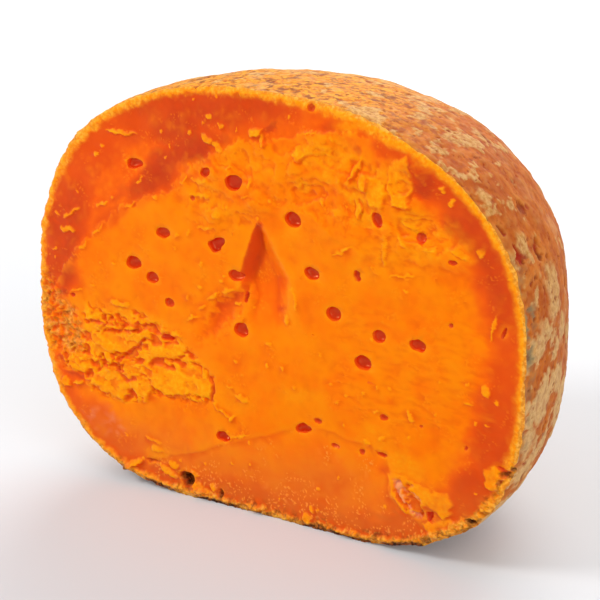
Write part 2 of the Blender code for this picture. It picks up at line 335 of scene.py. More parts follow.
# Where small loose crumbs lie in the crumbled band, as patches.
LOOSE_CRUMBS = (
    (-66, 63.5, 13, 3.4, 0, 1), (-62, 47.5, 14, 3.6, 0, 1), (-84, 47, 9, 6, 0, 1),
    (-52, 43, 5, 8, 0, 1), (-35, 41.5, 13, 1.6, 0, 1), (-61, 35.5, 12, 1.8, 0, 1),
    (-42, 66, 8, 1.6, -20, 1), (-83, 38, 7, 3, 0, 1),
)
# Outlines of the face's regions, and paths along its steps, grooves and cracks.
CRUMBLED = (
    (-79, 68), (-64, 69), (-50, 69.5), (-44, 65), (-35, 62.5), (-30, 57), (-24, 53), (-21.5, 48),
    (-22, 42), (-34, 40.5), (-50, 39), (-54, 35.5), (-62, 33.5), (-75, 35), (-80, 40.5), (-89, 42),
    (-90, 48), (-82, 52), (-80, 60),
)
FLAKY = ((-32, 132), (-34, 116), (-22, 104), (-6, 114), (2, 120), (22, 116), (46, 106), (66, 110),
         (78, 110), (78, 120), (62, 128), (58, 146), (40, 141), (28, 148), (4, 142), (-16, 138))
CRUSTY = ((-103, 78), (-95, 77), (-90, 73), (-91, 69), (-84, 66), (-80, 58), (-80, 50), (-89, 48),
          (-97, 50), (-103, 60))
SLAB_EDGE = ((-99, 66), (-88, 82), (-78, 94), (-66, 105), (-52, 113), (-40, 119), (-31, 128),
             (-20, 136), (-12, 141), (0, 142), (14, 147), (34, 150), (48, 151))
FLOOR = ((-51, 10), (-46, 14.5), (-34, 19), (-20, 25), (-10, 29.5), (0, 34), (14, 40.5), (24, 41),
         (37, 40), (48, 37), (50, 30), (50, 22), (58, 16), (66, 12), (72, -3), (-53, -3))
FLOOR_EDGE = FLOOR[:-2][::-1]
HOLLOW_EDGE = ((-2.8, 115), (-5.2, 110), (-8.6, 101), (-11.5, 92), (-10.5, 88), (-8.5, 84), (-9.5, 78))
HOLLOW_RIM = ((-1.0, 113.5), (1.5, 108), (6, 101), (9.5, 95), (10.5, 86), (12, 74))
TRENCH = ((-6, 91), (-11.8, 88), (-17, 83.4), (-22.5, 78.5), (-27, 74), (-31, 71))
CRACKS = (
    ((-57, 65), (-49, 66), (-47, 64), (-40, 62.8)),
    ((-61, 61.4), (-55, 62.2)),
    ((-52.5, 59.5), (-56, 56), (-60, 53), (-63, 50), (-65, 45)),
    ((-64, 45), (-61, 42), (-57, 44)),
    ((-23, 51), (-22, 46), (-23.5, 42)),
    ((-70, 62), (-76, 62.4)),
    ((91.5, 42.6), (94.5, 41.6), (99, 44)),
    ((94, 41.5), (92.6, 37)),
)
# The scooped chip low on the right and a scraped place low on the left: ovals.
SCOOP = (57.6, 22.8, 8.4, 3.5, -48)
SCRAPED = (-71, 24, 10, 6, -8)
# Marks of the rind by what they are: x, depth behind the cut, z, half size.
RIND_MARKS = {
    "pit": (
        (93, 7, 116.2, 2.8), (93.6, 20.3, 114.4, 2.4), (92.6, 23, 116.4, 1.6),
        (87.5, 3.8, 125, 1.6), (88.6, 3.4, 121.4, 1.2), (95.5, 28, 111, 1.1), (97, 33, 104, 1.2),
        (98.6, 36, 94, 1.3), (99, 22, 88, 1.4), (98, 34, 86, 1.3), (99.2, 7, 96.5, 1),
        (98.8, 5, 79, 1),
    ),
    "tan": (
        (80.5, 7.8, 133.6, 3.2), (74.6, 10.5, 138.8, 2.6), (61.1, 41.1, 143.6, 4),
        (92, 12, 119.5, 3.6), (91, 2.5, 117, 2.6), (97, 25, 103, 6.5), (98, 24, 95, 6),
        (99.4, 12, 88, 5), (97.5, 34, 84, 5), (98, 15, 62, 7), (96.5, 30, 66, 5),
        (97.5, 7, 52, 6), (95, 9, 40, 6), (90, 8, 27, 5),
    ),
    "mould": (
        (98.8, 5.5, 99, 2.6), (99.2, 1.4, 93.4, 2.4), (99.9, 2.9, 84.3, 2.8), (99, 3, 76, 1.8),
    ),
}


def beside(x, z, eye):
    """Which points are near enough to a gas hole for it to matter to them."""
    return (np.abs(x - eye[0]) < EYE_NEAR) & (np.abs(z - eye[1]) < EYE_NEAR)


def eye_reach(x, z, eye):
    """Distance from a gas hole's middle as a share of its uneven radius."""
    centre_x, centre_z, uneven = eye[0], eye[1], eye[5]
    around = np.arctan2(z - centre_z, x - centre_x)
    start = centre_x + centre_z
    shape = 0.05 * np.sin(2 * around + start) + 0.07 * np.sin(3 * around + 2 * start)
    shape += 0.05 * np.sin(5 * around + 3 * start)
    return in_oval(x, z, eye[:5]) / (1 + uneven * shape)


def gathered(x, z):
    """Grid points near the edge of a gas hole moved towards it, for a crisp edge."""
    for eye in EYES:
        near = beside(x, z, eye)
        reach = eye_reach(x[near], z[near], eye)
        off = np.clip((reach - 1) / 0.6, -1, 1)
        pulled = 1 + 0.6 * np.sign(off) * np.abs(off) ** 2.4
        scale = np.where(np.abs(off) < 1, pulled / np.maximum(reach, 0.01), 1)
        x[near] = eye[0] + (x[near] - eye[0]) * scale
        z[near] = eye[1] + (z[near] - eye[1]) * scale
    return x, z


def terraces(height, steps, riser):
    """Height in flat steps with risers that take up a share of each."""
    level = height * steps
    base = np.floor(level)
    return (base + smooth(1 - riser, 1, level - base)) / steps


class Face:
    """The cut face's relief and colour zones at points (x, z), in mm."""

    def __init__(self, x, z, edge):
        """edge is each point's distance from the rim."""
        self.x, self.z, self.edge = x, z, edge
        self.wave = flat_noise(x, z, 15, 20, 3)
        self.patchy = flat_noise(x, z, 9, 50, 3)
        self.fine = flat_noise(x, z, 2.4, 51, 3)
        bent_x = x + 1.6 * flat_noise(x, z, 8, 1, 3)
        bent_z = z + 1.6 * flat_noise(x, z, 8, 2, 3)
        torn_x = x + 0.9 * flat_noise(x, z, 3.2, 5, 3)
        torn_z = z + 0.9 * flat_noise(x, z, 3.2, 6, 3)
        self.bent, self.torn = (bent_x, bent_z), (torn_x, torn_z)
        self.slab = off_path(*self.bent, SLAB_EDGE)
        self.floor = within(bent_x * 0.5 + x * 0.5, bent_z * 0.5 + z * 0.5, FLOOR, 0.7)
        self.below = off_path(x, z, FLOOR_EDGE)
        self.crumbled = within(2 * torn_x - x, 2 * torn_z - z, CRUMBLED, 1.8)
        self.flaky = within(*self.bent, FLAKY, 5)
        self.crusty = within(*self.torn, CRUSTY, 2.5)
        self.hollow_left = off_path(0.2 * torn_x + 0.8 * x, z, HOLLOW_EDGE)
        self.hollow_right = -off_path(0.3 * bent_x + 0.7 * x, z, HOLLOW_RIM)
        angle = np.degrees(np.arctan2(z - FOOT, x)) + 4 * self.patchy
        columns = list(zip(*AROUND))
        self.band, self.red, self.line, self.crumbly = (
            np.interp(angle, columns[0], column) for column in columns[1:])
        self.scoop = smooth(1.15, 0.75, in_oval(2 * torn_x - x, 2 * torn_z - z, SCOOP))
        self.streaks = flat_noise(torn_x - torn_z, torn_x + torn_z, (12, 2.4), 58, 2)
        self.trench_gap = off_path(*self.bent, TRENCH) + 1.2 * self.fine
        self.trench_share = smooth(-30, -20, bent_x) * smooth(-7.4, -8.6, x)
        self.find_eyes()
        self.find_raised()
        self.find_crumbs()
        self.find_gaps()
        self.find_rim()

    def find_eyes(self):
        self.eye = np.full(len(self.x), 9.0)
        self.eye_size = np.ones(len(self.x))
        self.eye_dark = np.zeros(len(self.x))
        for eye in EYES:
            near = beside(self.x, self.z, eye)
            reach = eye_reach(self.x[near], self.z[near], eye)
            closer = reach < self.eye[near]
            self.eye_size[near] = np.where(closer, math.sqrt(eye[2] * eye[3]), self.eye_size[near])
            self.eye_dark[near] = np.where(closer, eye[6], self.eye_dark[near])
            self.eye[near] = np.minimum(self.eye[near], reach)

    def find_raised(self):
        """Height and share of the shavings and plates at each point."""
        self.chip = np.zeros(len(self.x))
        self.raised = np.zeros(len(self.x))
        for *oval, tall in CHIPS:
            along, across = oval_frame(*self.torn, oval)
            share = smooth(1.2, 0.75, np.hypot(along, across))
            self.chip = np.maximum(self.chip, share * (0.8 - 0.2 * across))
            self.raised = np.maximum(self.raised, share * tall * (0.6 - 0.4 * across))
        for tall, outline in PLATES:
            share = within(*self.torn, outline, 0.7)
            bottom, top = (pick(z for _, z in outline) for pick in (min, max))
            lift = np.clip((top - self.z) / (top - bottom), 0.25, 1)
            self.chip = np.maximum(self.chip, share * (0.6 + 0.35 * lift))
            self.raised = np.maximum(self.raised, 0.75 * share * tall * lift)
        self.chip *= 1 - 0.8 * self.scoop

    def find_crumbs(self):
        """Crumbs of two sizes, 0 between them and 1 on top, and where small ones lie loose."""
        x, z = self.torn
        self.block = smooth(-0.16, 0.10, flat_noise(x, z, (7, 4.5), 60, 3))
        self.crumb = smooth(-0.10, 0.25, flat_noise(x, z, (2.4, 1.8), 61, 3))
        self.loose = strongest(x, z, LOOSE_CRUMBS, 1.3, 0.7)
        near, size = flat_cells(x, z, 4.0, 3)
        self.speck = smooth(0.02, -0.06, near - 0.18 * size) * (size > 0.92)
        near, size = flat_cells(x, z, 1.2, 4)
        thick = 0.5 * self.floor * smooth(24, 8, self.edge)
        dusted = smooth(0.1, 0.6, flat_noise(self.x, self.z, 7, 43, 2) + thick)
        self.grit = smooth(0.05, -0.06, near - 0.38 * size) * dusted * (size > 0.4)

    def find_gaps(self):
        self.crack = np.zeros(len(self.x))
        for path in CRACKS:
            gap = np.abs(off_path(*self.torn, path))
            self.crack = np.maximum(self.crack, smooth(0.9, 0.2, gap))
        self.pit_depth = np.zeros(len(self.x))
        for *oval, deep in RIM_PITS:
            share = smooth(1.15, 0.7, in_oval(*self.torn, (*oval, 0)))
            self.pit_depth = np.maximum(self.pit_depth, share * deep)

    def find_rim(self):
        """The rim line, and where the rind shows in front of it along the bottom."""
        ragged = flat_noise(self.x, self.z, 6, 30, 3)
        width = self.line * (1 + 0.35 * ragged) + self.crumbly * 1.2 * self.fine
        self.ledge = smooth(width + 1.5, width - 1.1, self.edge + 0.5 * self.patchy)
        low = smooth(26, 8, self.z)
        self.skin = smooth(0.8 + 1.6 * low, 0.2 + 0.9 * low, self.edge + 0.5 * self.fine)

    def depth(self):
        """How far the surface lies behind the plane of the cut."""
        x, z = self.x, self.z
        total = 0.8 + 0.5 * flat_noise(x, z, (42, 34), 21, 2)
        rough = np.clip(0.3 + 0.7 * self.flaky + 0.3 * self.crumbled - 0.15 * self.floor, 0, 1)
        total += rough * (0.7 * self.wave + 0.16 * flat_noise(x, z, 5, 22, 3))
        layers = flat_noise(*self.torn, (17, 11), 29, 2)
        total += 1.1 * self.flaky * terraces(layers, 2, 0.5)
        total += 0.15 * self.flaky * flat_noise(*self.torn, (3.6, 2.4), 63, 2)
        brushed = smooth(20, 40, x) * smooth(95, 84, x) * smooth(44, 54, z) * smooth(96, 84, z)
        total += 0.16 * brushed * flat_noise(*self.bent, (8, 2.8), 23, 2)
        total += 0.45 * smooth(-0.8, 0.8, self.slab + 1.2 * self.fine) + 2.8 * smooth(0, 30, self.slab)
        total += self.floor * (0.3 + 1.2 * smooth(0, 34, self.below))
        total += self.hollow() + self.trench()
        bare = 1 - self.chip
        total += self.crumbled * bare * (0.9 - self.block - 0.9 * self.loose * self.crumb)
        total += self.crusty * smooth(0, 5, self.edge) * (1.2 - 0.6 * self.block - 0.6 * self.crumb)
        total += 0.6 * self.ledge * self.crumbly * (0.6 - self.crumb - 0.5 * self.block)
        total -= self.raised * (1.3 + 0.3 * flat_noise(x, z, 3, 25, 2))
        total -= (0.3 * self.speck + 0.15 * self.grit) * (1 - self.crumbled)
        total += smooth(1.03, 0.94, self.eye) * self.eye_size * (0.3 + 0.3 * self.eye_dark)
        total += self.eye_size * 0.5 * np.sqrt(np.clip(1 - self.eye**2, 0, 1))
        total += 0.7 * self.crack + self.pit_depth + 1.5 * self.scoop * (1 - 0.5 * self.crumb)
        return total + self.rim_relief()

    def hollow(self):
        """A shell-shaped hollow, steep on its left, where a wedge snapped out."""
        x, z = self.x, self.z
        rise = smooth(-0.5, 8, self.hollow_right)
        wall = smooth(-0.4, 4.6 - 2.4 * smooth(98, 112, z), self.hollow_left)
        return 4.4 * wall * rise * smooth(114.5, 108, z) * smooth(68, 96, z)

    def trench(self):
        """A short groove that runs down to the left from the hollow's wall."""
        gap = self.trench_gap
        return 1.3 * smooth(-1.0, 3.6, gap) * smooth(11, 4, gap) * self.trench_share

    def rim_relief(self):
        low = smooth(26, 8, self.z)
        lip = -0.2 * self.ledge - 1.0 * low * self.ledge
        return lip + 0.5 * smooth(1.4, 0, self.edge) + 0.7 * low * self.skin

    def zones(self):
        """Shares of the face's colours at each point, each 0 to 1."""
        x, z, edge, fine, patchy = self.x, self.z, self.edge, self.fine, self.patchy
        deep = self.red * smooth(self.band + 8, self.band - 6, edge + 3 * patchy)
        deep = highest(deep, 0.4 * smooth(-4, 3, self.slab + 1.5 * fine))
        deep = deep * (1 - self.floor) + self.floor * smooth(17, 3, edge + 3 * patchy)
        pale = strongest(*self.bent, YELLOW_PATCHES, 1.4, 0.5)
        deep = (1 - 0.8 * pale) * highest(
            deep,
            strongest(*self.bent, RED_PATCHES, 1.6, 0.3, 0.12 * patchy),
            0.8 * self.scoop * smooth(0.1, -0.3, self.streaks))
        # Painted shade on the hollow's steep left wall, a little on its bed, and along the trench's step,
        # all added to the deep shares.
        reach = 8.6 - 5 * smooth(97, 112, z)
        wall = smooth(-0.2, 0.6, self.hollow_left) * smooth(reach, 0.3 * reach, self.hollow_left)
        wall *= smooth(114, 112, z) * (0.1 + 0.9 * smooth(86, 97, z)) * smooth(76, 84, z)
        bed = smooth(0, 1, self.hollow_left) * smooth(0, 3, self.hollow_right)
        trench = smooth(-1.5, 3, self.trench_gap) * smooth(11, 5, self.trench_gap)
        trench *= self.trench_share
        deep = highest(
            deep,
            wall,
            0.24 * bed * smooth(70, 80, z) * smooth(114, 112, z),
            (0.4 + 0.25 * fine) * trench)
        lumps = self.block * (1 - 0.7 * self.loose) + self.crumb * self.loose
        flakes = smooth(0.1, 0.3, flat_noise(*self.torn, (14, 9), 57, 2))
        pale = highest(
            pale,
            self.crumbled * np.clip(0.3 + 0.6 * lumps + 0.2 * fine, 0, 1),
            self.chip * (0.8 + 0.3 * fine + 0.3 * patchy),
            0.6 * self.speck,
            self.ledge * (0.9 + 0.2 * fine),
            (0.3 + 0.3 * smooth(-5, 15, x)) * self.flaky * flakes)
        # Painted shade: darker red inside the gas holes, along the cracks and in the gaps between crumbs.
        shade_painted_in_holes_and_gaps = highest(
            smooth(1.04, 0.95, self.eye) * (0.35 + 0.65 * self.eye_dark),
            0.6 * self.crack,
            0.35 * self.crumbled * (1 - lumps) * (1 - self.chip))
        low = smooth(30, 12, z)
        patchy_bottom_shade = smooth(-0.25, 0.35, flat_noise(x, z, 12, 59, 2) + 0.4 * fine)
        grains = smooth(0.05, 0.5, flat_noise(x, z, 1.7, 62, 2)) * self.crumbly
        # Brown: the crust's own specks and the grains near the bottom rim, and painted shade in the rim's
        # pits, deeper ones darker, and on the rind along the bottom.
        brown = highest(
            np.clip(self.pit_depth / 2, 0, 1) * smooth(12, 7, edge),
            0.45 * self.crusty * smooth(0.1, 0.6, flat_noise(x, z, 2.2, 64, 2)),
            self.skin * low * patchy_bottom_shade,
            0.8 * smooth(50, 20, z) * grains * smooth(6, 2, edge + 2 * patchy))
        crust = highest(
            self.skin,
            0.75 * self.crusty * smooth(-0.4, 0.5, fine + patchy),
            self.crumbly * self.ledge * (0.5 + 0.3 * low + 0.5 * fine))
        peach = self.scoop * smooth(-0.1, 0.3, self.streaks)
        scraped = smooth(1.2, 0.4, in_oval(*self.torn, SCRAPED))
        dusty = self.floor * (0.1 + 0.9 * smooth(2, 22, self.below))
        shares = {
            "deep": deep, "pale": pale, "shade_painted_in_holes_and_gaps": shade_painted_in_holes_and_gaps, "brown": brown, "skin": crust,
            "dusty": highest(dusty, 0.8 * smooth(38, 16, z + 4 * patchy)),
            "grit": self.grit * (0.1 + 0.9 * self.floor),
            "scar": highest(peach, 0.5 * scraped * smooth(0, 0.6, fine)),
        }
        return {name: np.clip(share, 0, 1) for name, share in shares.items()}


# ---------------------------------------------------------------- the ball
def ball_radius(direction):
    """Distance from the ball's centre to its rind or its flat, along unit vectors."""
    up = direction[:, 2]
    outward = np.hypot(direction[:, 0], direction[:, 1])
    power = np.where(up > 0, CROWN_POWER, FOOT_POWER)
    height = np.where(up > 0, CROWN, FOOT)
    law = (outward / GIRTH) ** power + (np.abs(up) / height) ** power
    radius = law ** (-1 / power)
    to_table = CENTRE[2] / np.maximum(-up, 1e-6)
    return np.where(up < 0, np.minimum(radius, to_table), radius)


def rim_distance(angle, y):
    """How far the rim is from the middle of the cut at each angle, at depth y."""
    near, far = (np.full(len(angle), reach) for reach in RIM_SEARCH)
    for _ in range(RIM_HALVINGS):
        middle = (near + far) / 2
        point = np.column_stack((middle * np.cos(angle), y, middle * np.sin(angle)))
        size = np.linalg.norm(point, axis=1)
        inside = size < ball_radius(point / size[:, None])
        near = np.where(inside, middle, near)
        far = np.where(inside, far, middle)
    return near


class Rind:
    """The rind's relief and colour zones at points of the smooth ball, in mm."""

    def __init__(self, points):
        self.points = points
        self.y, self.z = points[:, 1] + CUT_OFFSET, points[:, 2] + FOOT
        self.patch = solid_noise(points, 10.0, 1, 4, 0.6)
        self.broad = solid_noise(points, 38.0, 12, 2)
        self.fine = solid_noise(points, 2.6, 2, 3)
        bent = points + 2.2 * np.column_stack(
            [solid_noise(points, 4.5, 3 + axis, 3) for axis in range(3)])
        self.marks = {name: self.near(bent, marks) for name, marks in RIND_MARKS.items()}
        near, size = NOISE.cells(bent / 7.5)
        clustered = smooth(-0.1, 0.3, solid_noise(points, 24.0, 13, 2))
        self.pit = smooth(0.06, -0.10, near - 0.34 * size) * (size > 0.3) * clustered
        self.pit = np.maximum(0.8 * self.pit, self.marks["pit"])
        near, size = NOISE.cells(bent / 3.2 + 40)
        self.pock = smooth(0.05, -0.12, near - 0.30 * size) * (size > 0.45)
        side = 0.45 * smooth(118, 96, self.z) + 0.3 * smooth(134, 146, self.z) * smooth(10, 50, points[:, 0])
        rough = self.patch + 0.2 * self.fine + side + 0.3 * self.broad - 0.5
        self.crust = np.maximum(smooth(-0.05, 0.15, rough), self.marks["tan"])

    @staticmethod
    def near(points, marks):
        """1 at marks of the rind and 0 away from them."""
        share = np.zeros(len(points))
        for x, behind, z, size in marks:
            gap = np.linalg.norm(points - (x, behind - CUT_OFFSET, z - FOOT), axis=1)
            share = np.maximum(share, smooth(1.25 * size, 0.7 * size, gap))
        return share

    def height(self):
        """How far the rind stands out of the smooth ball."""
        points = self.points
        total = 0.9 * solid_noise(points, 46.0, 6) + 0.45 * solid_noise(points, 17.0, 7)
        total += 0.28 * solid_noise(points, 6.0, 8, 3) + 0.08 * self.fine
        total += 0.15 * self.crust
        total += 0.5 * smooth(7, 1, self.y) * solid_noise(points, 3.6, 14, 2)
        total -= 0.9 * self.pit + 0.35 * self.pock
        flat = smooth(6, 0, self.z - REST_CUT)
        return total * (1 - 0.85 * flat)

    def zones(self):
        """Shares of the rind's colours at each point, each 0 to 1."""
        # The crown of the rind, painted lighter and yellower as painted light from above.
        painted_top_light = smooth(138, 153, self.z + 8 * self.patch) * smooth(75, 20, self.points[:, 0])
        edge_band = smooth(10, 3, self.y + 4 * self.fine)
        mould = edge_band * smooth(30, 60, self.z) * smooth(122, 108, self.z)
        mould *= 0.5 * smooth(0.0, 0.4, solid_noise(self.points, 7.0, 9, 3))
        mould = np.maximum(mould, self.marks["mould"])
        frost = smooth(0.0, 0.5, solid_noise(self.points, 16.0, 10, 4, 0.6)) * smooth(25, 60, self.y)
        frost = np.maximum(frost, self.crust * smooth(125, 60, self.z))
        return {
            "pit": np.clip(np.maximum(self.pit, 0.6 * self.pock), 0, 1),
            "crust": np.clip(self.crust, 0, 1),
            "painted_top_light": painted_top_light, "mould": mould, "frost": frost,
            # Where shade is painted on the rind near the table.
            "underside": smooth(16, 6, self.z),
        }


# ---------------------------------------------------------------- the two sheets
def disc(grid):
    """A square grid of points spread evenly over a disc: radius 0 to 1, and angle."""
    side = np.linspace(-1, 1, grid + 1)
    u, v = (axis.ravel() for axis in np.meshgrid(side, side, indexing="ij"))
    wide = np.abs(u) > np.abs(v)
    reach = np.where(wide, u, v)
    safe = np.where(reach == 0, 1, reach)
    turn = np.where(wide, math.pi / 4 * v / safe, math.pi / 2 - math.pi / 4 * u / safe)
    across, up = reach * np.cos(turn), reach * np.sin(turn)
    return np.hypot(across, up), np.arctan2(up, across)


class Rim:
    """Where the cut meets the rind, at each angle around the middle of the cut."""

    def __init__(self):
        self.angle = np.linspace(-math.pi, math.pi, RIM_STEPS)
        self.y = np.full(RIM_STEPS, -CUT_OFFSET)
        self.reach = rim_distance(self.angle, self.y)
        for _ in range(2):
            x, z = self.reach * np.cos(self.angle), self.reach * np.sin(self.angle)
            self.y = Face(x, z + FOOT, np.zeros(RIM_STEPS)).depth() - CUT_OFFSET
            self.reach = rim_distance(self.angle, self.y)

    def at(self, angle):
        reach = np.interp(angle, self.angle, self.reach)
        return reach, np.interp(angle, self.angle, self.y)


def lifted(points):
    """Smooth-ball points moved to the rind's surface, and kept above the table."""
    size = np.linalg.norm(points, axis=1)[:, None]
    moved = points + points / size * Rind(points).height()[:, None]
    moved[:, 2] = np.maximum(moved[:, 2], -CENTRE[2])
    return moved


def rind_sheet(reach, angle, rim):
    rim_reach, rim_y = rim.at(angle)
    turn = reach * np.arctan2(rim_reach, rim_y)
    direction = np.column_stack(
        (np.sin(turn) * np.cos(angle), np.cos(turn), np.sin(turn) * np.sin(angle)))
    return lifted(direction * ball_radius(direction)[:, None])


def face_sheet(reach, angle, rim):
    rim_reach, rim_y = rim.at(angle)
    x, z = (reach * rim_reach * part(angle) for part in (np.cos, np.sin))
    x, z = gathered(x, z + FOOT)
    z -= FOOT
    face = Face(x, z + FOOT, (1 - reach) * rim_reach)
    at_rim = np.column_stack((rim_reach * np.cos(angle), rim_y, rim_reach * np.sin(angle)))
    shift = lifted(at_rim) - at_rim
    follow = smooth(0.94, 1.0, reach)[:, None]
    return np.column_stack((x, face.depth() - CUT_OFFSET, z)) + follow * shift


def sheet_faces(index, flip):
    a, b, c, d = index[:-1, :-1], index[1:, :-1], index[1:, 1:], index[:-1, 1:]
    corners = (a, d, c, b) if flip else (a, b, c, d)
    return np.stack([corner.ravel() for corner in corners], axis=1)


def cheese_mesh():
    """Both sheets as one closed mesh: polygons of slot 0 are paste, of slot 1 rind."""
    rim = Rim()
    reach, angle = disc(GRID)
    face = face_sheet(reach, angle, rim)
    back = rind_sheet(reach, angle, rim)
    index = np.arange((GRID + 1) ** 2).reshape(GRID + 1, GRID + 1)
    back_index = np.full_like(index, -1)
    back_index[1:-1, 1:-1] = np.arange((GRID - 1) ** 2).reshape(GRID - 1, GRID - 1) + index.size
    shared = back_index < 0
    back_index[shared] = index[shared]
    points = np.concatenate((face, back[index[1:-1, 1:-1].ravel()]))
    quads = np.concatenate((sheet_faces(index, False), sheet_faces(back_index, True)))
    mesh = bpy.data.meshes.new("cheese")
    mesh.from_pydata(((points + CENTRE) / 1000).tolist(), [], quads.tolist())
    slots = np.repeat((0, 1), GRID * GRID)
    mesh.polygons.foreach_set("material_index", slots.astype(np.int32))
    mesh.update()
    return mesh, rim


def thinned(piece):
    """Fewer triangles where the surface is smooth."""
    thin = piece.modifiers.new("thin", "DECIMATE")
    thin.ratio = min(1.0, MOST_TRIANGLES / (4 * GRID * GRID))
    graph = bpy.context.evaluated_depsgraph_get()
    mesh = bpy.data.meshes.new_from_object(piece.evaluated_get(graph))
    piece.modifiers.clear()
    piece.data = mesh


def give(mesh, name, values):
    layer = mesh.attributes.new(name, "FLOAT", "POINT")
    layer.data.foreach_set("value", np.asarray(values, dtype=np.float32))


def read(items, name, width=3, kind=float):
    """A property of a mesh's vertices or edges as an array of rows."""
    values = np.empty(len(items) * width, kind)
    items.foreach_get(name, values)
    return values.reshape(-1, width)


def standing_out(mesh, rounds, most):
    """How far each vertex stands out of the surface around it, -1 to 1 at most mm."""
    count = len(mesh.vertices)
    points, normals = read(mesh.vertices, "co") * 1000, read(mesh.vertices, "normal")
    one, other = read(mesh.edges, "vertices", 2, int).T
    near = np.bincount(one, minlength=count) + np.bincount(other, minlength=count)
    around = points
    for _ in range(rounds):
        total = np.empty_like(points)
        for axis in range(3):
            total[:, axis] = np.bincount(one, around[other, axis], count)
            total[:, axis] += np.bincount(other, around[one, axis], count)
        around = 0.5 * around + 0.5 * total / near[:, None]
    return np.clip(((points - around) * normals).sum(axis=1) / most, -1, 1)


def colour_zones(mesh, rim):
    """Writes the colour shares of face and rind as attributes of the mesh."""
    points = read(mesh.vertices, "co") * 1000 - CENTRE
    angle = np.arctan2(points[:, 2], points[:, 0])
    edge = rim.at(angle)[0] - np.hypot(points[:, 0], points[:, 2])
    face = Face(points[:, 0], points[:, 2] + FOOT, np.maximum(edge, 0))
    for name, share in (face.zones() | Rind(points).zones()).items():
        give(mesh, name, share)
    # Painted light from the relief: a paler painted highlight where the surface stands out, and painted
    # shade where it sinks in and on the face's steep sides.
    out = 0.4 * standing_out(mesh, 3, 0.12) + 0.6 * standing_out(mesh, 14, 0.4)
    on_face = (edge > 1) & (points[:, 1] < 1)
    steep = on_face * smooth(0.92, 0.6, -read(mesh.vertices, "normal")[:, 1])
    give(mesh, "painted_ridge_highlight", np.clip(out, 0, 1) * (1 - steep))
    give(mesh, "painted_shade_in_creases_and_steeps", np.clip(np.maximum(-out, 0.9 * steep), 0, 1))


# ---------------------------------------------------------------- materials
def srgb(red, green, blue):
    """A colour given as it looks on a screen, 0 to 255."""
    def linear(value):
        value /= 255
        return value / 12.92 if value <= 0.04045 else ((value + 0.055) / 1.055) ** 2.4
    return linear(red), linear(green), linear(blue), 1.0


def set_inputs(node, values):
    for name, value in values.items():
        node.inputs[name].default_value = value


class Nodes:
    """Short names for the few node kinds the materials use. A colour is an srgb triple."""

    def __init__(self, name):
        self.material = bpy.data.materials.new(name)
        self.material.use_nodes = True
        self.tree = self.material.node_tree
        self.shader = self.tree.nodes["Principled BSDF"]
        self.place = self.tree.nodes.new("ShaderNodeTexCoord").outputs["Object"]

    def link(self, source, target):
        self.tree.links.new(source, target)

    def share(self, name):
        node = self.tree.nodes.new("ShaderNodeAttribute")
        node.attribute_name = name
        return node.outputs["Fac"]

    def noise(self, grain, detail=3.0, rough=0.55):
        """Noise with a grain in mm."""
        mapping = self.tree.nodes.new("ShaderNodeMapping")
        set_inputs(mapping, {"Scale": [1000 / grain] * 3})
        node = self.tree.nodes.new("ShaderNodeTexNoise")
        set_inputs(node, {"Scale": 1, "Detail": detail, "Roughness": rough})
        self.link(self.place, mapping.inputs["Vector"])
        self.link(mapping.outputs["Vector"], node.inputs["Vector"])
        return node.outputs["Fac"]

    def spread(self, value, start, end, low=0.0, high=1.0):
        node = self.tree.nodes.new("ShaderNodeMapRange")
        node.interpolation_type = "SMOOTHSTEP"
        set_inputs(node, {"From Min": start, "From Max": end, "To Min": low, "To Max": high})
        self.link(value, node.inputs["Value"])
        return node.outputs["Result"]

    def times(self, first, second):
        node = self.tree.nodes.new("ShaderNodeMath")
        node.operation = "MULTIPLY"
        node.use_clamp = True
        for socket, value in zip(node.inputs, (first, second)):
            if isinstance(value, (int, float)):
                socket.default_value = value
            else:
                self.link(value, socket)
        return node.outputs["Value"]

    def mix(self, first, second, share):
        node = self.tree.nodes.new("ShaderNodeMix")
        node.data_type = "RGBA"
        colours = [socket for socket in node.inputs if socket.type == "RGBA"]
        for socket, value in zip(colours, (first, second)):
            if isinstance(value, tuple):
                socket.default_value = srgb(*value)
            else:
                self.link(value, socket)
        factor = node.inputs["Factor"]
        if isinstance(share, (int, float)):
            factor.default_value = share
        else:
            self.link(share, factor)
        return next(out for out in node.outputs if out.type == "RGBA")

    def mottled(self, first, second, value, start, end):
        """The first colour where value is at start, and the second where it is at end."""
        return self.mix(first, second, self.spread(value, start, end))

    def coat(self, colour, top, name, most):
        """Another colour on top, as far as a zone's share times most."""
        return self.mix(colour, top, self.times(self.share(name), most))

    def bump(self, height, distance, below=None):
        """Bump of the given depth in mm."""
        node = self.tree.nodes.new("ShaderNodeBump")
        set_inputs(node, {"Distance": distance / 1000})
        self.link(height, node.inputs["Height"])
        if below is not None:
            self.link(below, node.inputs["Normal"])
        return node.outputs["Normal"]


